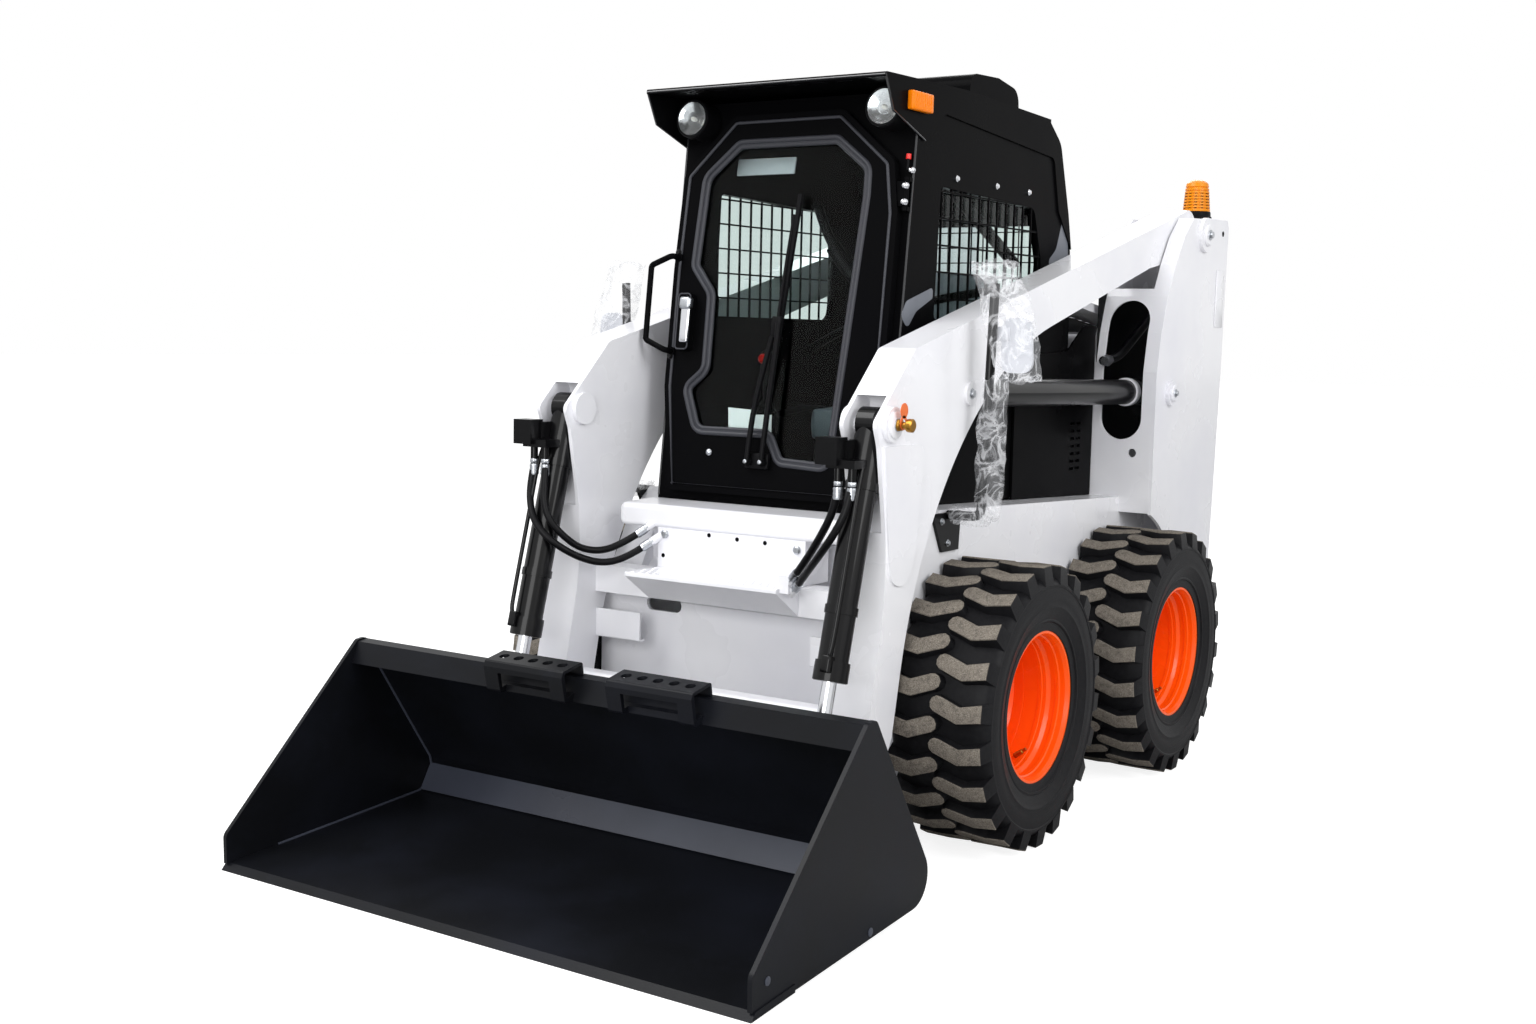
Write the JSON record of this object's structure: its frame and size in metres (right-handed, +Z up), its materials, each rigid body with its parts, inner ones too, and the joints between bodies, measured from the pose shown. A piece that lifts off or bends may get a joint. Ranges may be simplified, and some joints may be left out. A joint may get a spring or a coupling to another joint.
{
  "type": "skid steer loader",
  "caption": "Compact skid steer loader with a closed cab, radius-lift arms and a wide bucket, whose arms, bucket, cylinders, wheels, doors and hood move.",
  "frame": {"origin": "on the ground under the middle of the whole machine's outline, arms lowered", "axes": "+Z up, -Y towards the machine's front, +X towards its left side"},
  "size_m": [1.7, 3.473, 2.2769],
  "materials": {
    "white_paint": "gloss white paint",
    "black_paint": "satin black paint",
    "glass": "clear",
    "seat_cover": "woven",
    "black_plastic": "moulded",
    "lamp_body": "clear lens in a black body",
    "amber_plastic": "translucent",
    "chrome_rod": "polished",
    "bucket_paint": "gloss blue-black paint",
    "hose_rubber": "smooth",
    "tyre_rubber": "moulded",
    "orange_paint": "gloss orange paint"
  },
  "bodies": {
    "chassis": {"chassis_frame": "white_paint", "tower_left": "white_paint", "tower_right": "white_paint", "axle_housings": "white_paint", "engine_block": "black_paint", "engine_side_panels": "black_paint", "cab_shell": "black_paint", "cab_roof": "black_paint", "cab_glass": "glass", "side_grilles": "black_paint", "seat": "seat_cover", "control_consoles": "black_plastic", "lamps": "lamp_body", "beacon": "amber_plastic", "mirrors": "black_plastic"},
    "cab_door": {"cab_door": "black_paint", "cab_door_glass": "glass"},
    "engine_hood": {"engine_hood": "white_paint"},
    "rear_door": {"rear_door": "white_paint"},
    "lift_arms": {"lift_arm_left": "white_paint", "lift_arm_right": "white_paint", "crossmember_upper": "white_paint", "crossmember_lower": "white_paint", "hose_left_inner": "hose_rubber", "hose_left_outer": "hose_rubber", "hose_right_inner": "hose_rubber", "hose_right_outer": "hose_rubber"},
    "bucket": {"bucket_shell": "bucket_paint", "cutting_edge": "bucket_paint", "quick_attach": "bucket_paint"},
    "lift_barrel_left": {"lift_barrel_left": "black_paint"},
    "lift_rod_left": {"lift_rod_left": "chrome_rod"},
    "tilt_barrel_left": {"tilt_barrel_left": "black_paint"},
    "tilt_rod_left": {"tilt_rod_left": "chrome_rod"},
    "lift_barrel_right": {"lift_barrel_right": "black_paint"},
    "lift_rod_right": {"lift_rod_right": "chrome_rod"},
    "tilt_barrel_right": {"tilt_barrel_right": "black_paint"},
    "tilt_rod_right": {"tilt_rod_right": "chrome_rod"},
    "wheel_front_left": {"tyre_front_left": "tyre_rubber", "rim_front_left": "orange_paint"},
    "wheel_front_right": {"tyre_front_right": "tyre_rubber", "rim_front_right": "orange_paint"},
    "wheel_rear_left": {"tyre_rear_left": "tyre_rubber", "rim_rear_left": "orange_paint"},
    "wheel_rear_right": {"tyre_rear_right": "tyre_rubber", "rim_rear_right": "orange_paint"}
  },
  "joints": [
    {"name": "lift_arms_raise", "type": "hinge", "parent": "chassis", "child": "lift_arms", "pos_m": [0, 1.4465, 1.836], "axis": [-1, 0, 0], "range_deg": [0, 60]},
    {"name": "bucket_tilt", "type": "hinge", "parent": "lift_arms", "child": "bucket", "pos_m": [0, -0.8175, 0.21], "axis": [1, 0, 0], "range_deg": [-25, 95]},
    {"name": "cab_door_swing", "type": "hinge", "parent": "chassis", "child": "cab_door", "pos_m": [0.392, -0.44737, 0.93918], "axis": [0, 0.1146, 0.9934], "range_deg": [0, 85]},
    {"name": "engine_hood_lift", "type": "hinge", "parent": "chassis", "child": "engine_hood", "pos_m": [0, 0.8325, 1.59], "axis": [1, 0, 0], "range_deg": [0, 50]},
    {"name": "rear_door_swing", "type": "hinge", "parent": "chassis", "child": "rear_door", "pos_m": [0.404, 1.7225, 1], "axis": [0, 0, -1], "range_deg": [0, 95]},
    {"name": "lift_barrel_left_turn", "type": "hinge", "parent": "chassis", "child": "lift_barrel_left", "pos_m": [0.5215, 1.1615, 1.269], "axis": [-1, 0, 0], "range_deg": [0, 59]},
    {"name": "lift_rod_left_slide", "type": "slide", "parent": "lift_barrel_left", "child": "lift_rod_left", "axis": [0, -0.9999, 0.0146], "range_m": [0, 0.634]},
    {"name": "tilt_barrel_left_turn", "type": "hinge", "parent": "lift_arms", "child": "tilt_barrel_left", "pos_m": [0.5215, -0.7235, 1.217], "axis": [1, 0, 0], "range_deg": [-0.6, 2]},
    {"name": "tilt_rod_left_slide", "type": "slide", "parent": "tilt_barrel_left", "child": "tilt_rod_left", "axis": [0, -0.2652, -0.9642], "range_m": [-0.07, 0.2625]},
    {"name": "wheel_front_left_spin", "type": "hinge", "parent": "chassis", "child": "wheel_front_left", "pos_m": [0.6765, -0.2235, 0.409], "axis": [1, 0, 0], "continuous": true},
    {"name": "wheel_rear_left_spin", "type": "hinge", "parent": "chassis", "child": "wheel_rear_left", "pos_m": [0.6765, 0.8715, 0.409], "axis": [1, 0, 0], "continuous": true},
    {"name": "lift_barrel_right_turn", "type": "hinge", "parent": "chassis", "child": "lift_barrel_right", "pos_m": [-0.5215, 1.1615, 1.269], "axis": [-1, 0, 0], "range_deg": [0, 59]},
    {"name": "lift_rod_right_slide", "type": "slide", "parent": "lift_barrel_right", "child": "lift_rod_right", "axis": [0, -0.9999, 0.0146], "range_m": [0, 0.634]},
    {"name": "tilt_barrel_right_turn", "type": "hinge", "parent": "lift_arms", "child": "tilt_barrel_right", "pos_m": [-0.5215, -0.7235, 1.217], "axis": [1, 0, 0], "range_deg": [-0.6, 2]},
    {"name": "tilt_rod_right_slide", "type": "slide", "parent": "tilt_barrel_right", "child": "tilt_rod_right", "axis": [0, -0.2652, -0.9642], "range_m": [-0.07, 0.2625]},
    {"name": "wheel_front_right_spin", "type": "hinge", "parent": "chassis", "child": "wheel_front_right", "pos_m": [-0.6765, -0.2235, 0.409], "axis": [1, 0, 0], "continuous": true},
    {"name": "wheel_rear_right_spin", "type": "hinge", "parent": "chassis", "child": "wheel_rear_right", "pos_m": [-0.6765, 0.8715, 0.409], "axis": [1, 0, 0], "continuous": true}
  ],
  "couplings": [
    {"joint": "lift_barrel_left_turn", "follows": "lift_arms_raise", "ratio": 0.97879},
    {"joint": "lift_rod_left_slide", "follows": "lift_arms_raise", "m_per_rad": 0.60489},
    {"joint": "tilt_barrel_left_turn", "follows": "bucket_tilt", "ratio": 0.02},
    {"joint": "tilt_rod_left_slide", "follows": "bucket_tilt", "m_per_rad": 0.15756},
    {"joint": "lift_barrel_right_turn", "follows": "lift_arms_raise", "ratio": 0.97879},
    {"joint": "lift_rod_right_slide", "follows": "lift_arms_raise", "m_per_rad": 0.60489},
    {"joint": "tilt_barrel_right_turn", "follows": "bucket_tilt", "ratio": 0.02},
    {"joint": "tilt_rod_right_slide", "follows": "bucket_tilt", "m_per_rad": 0.15756}
  ]
}
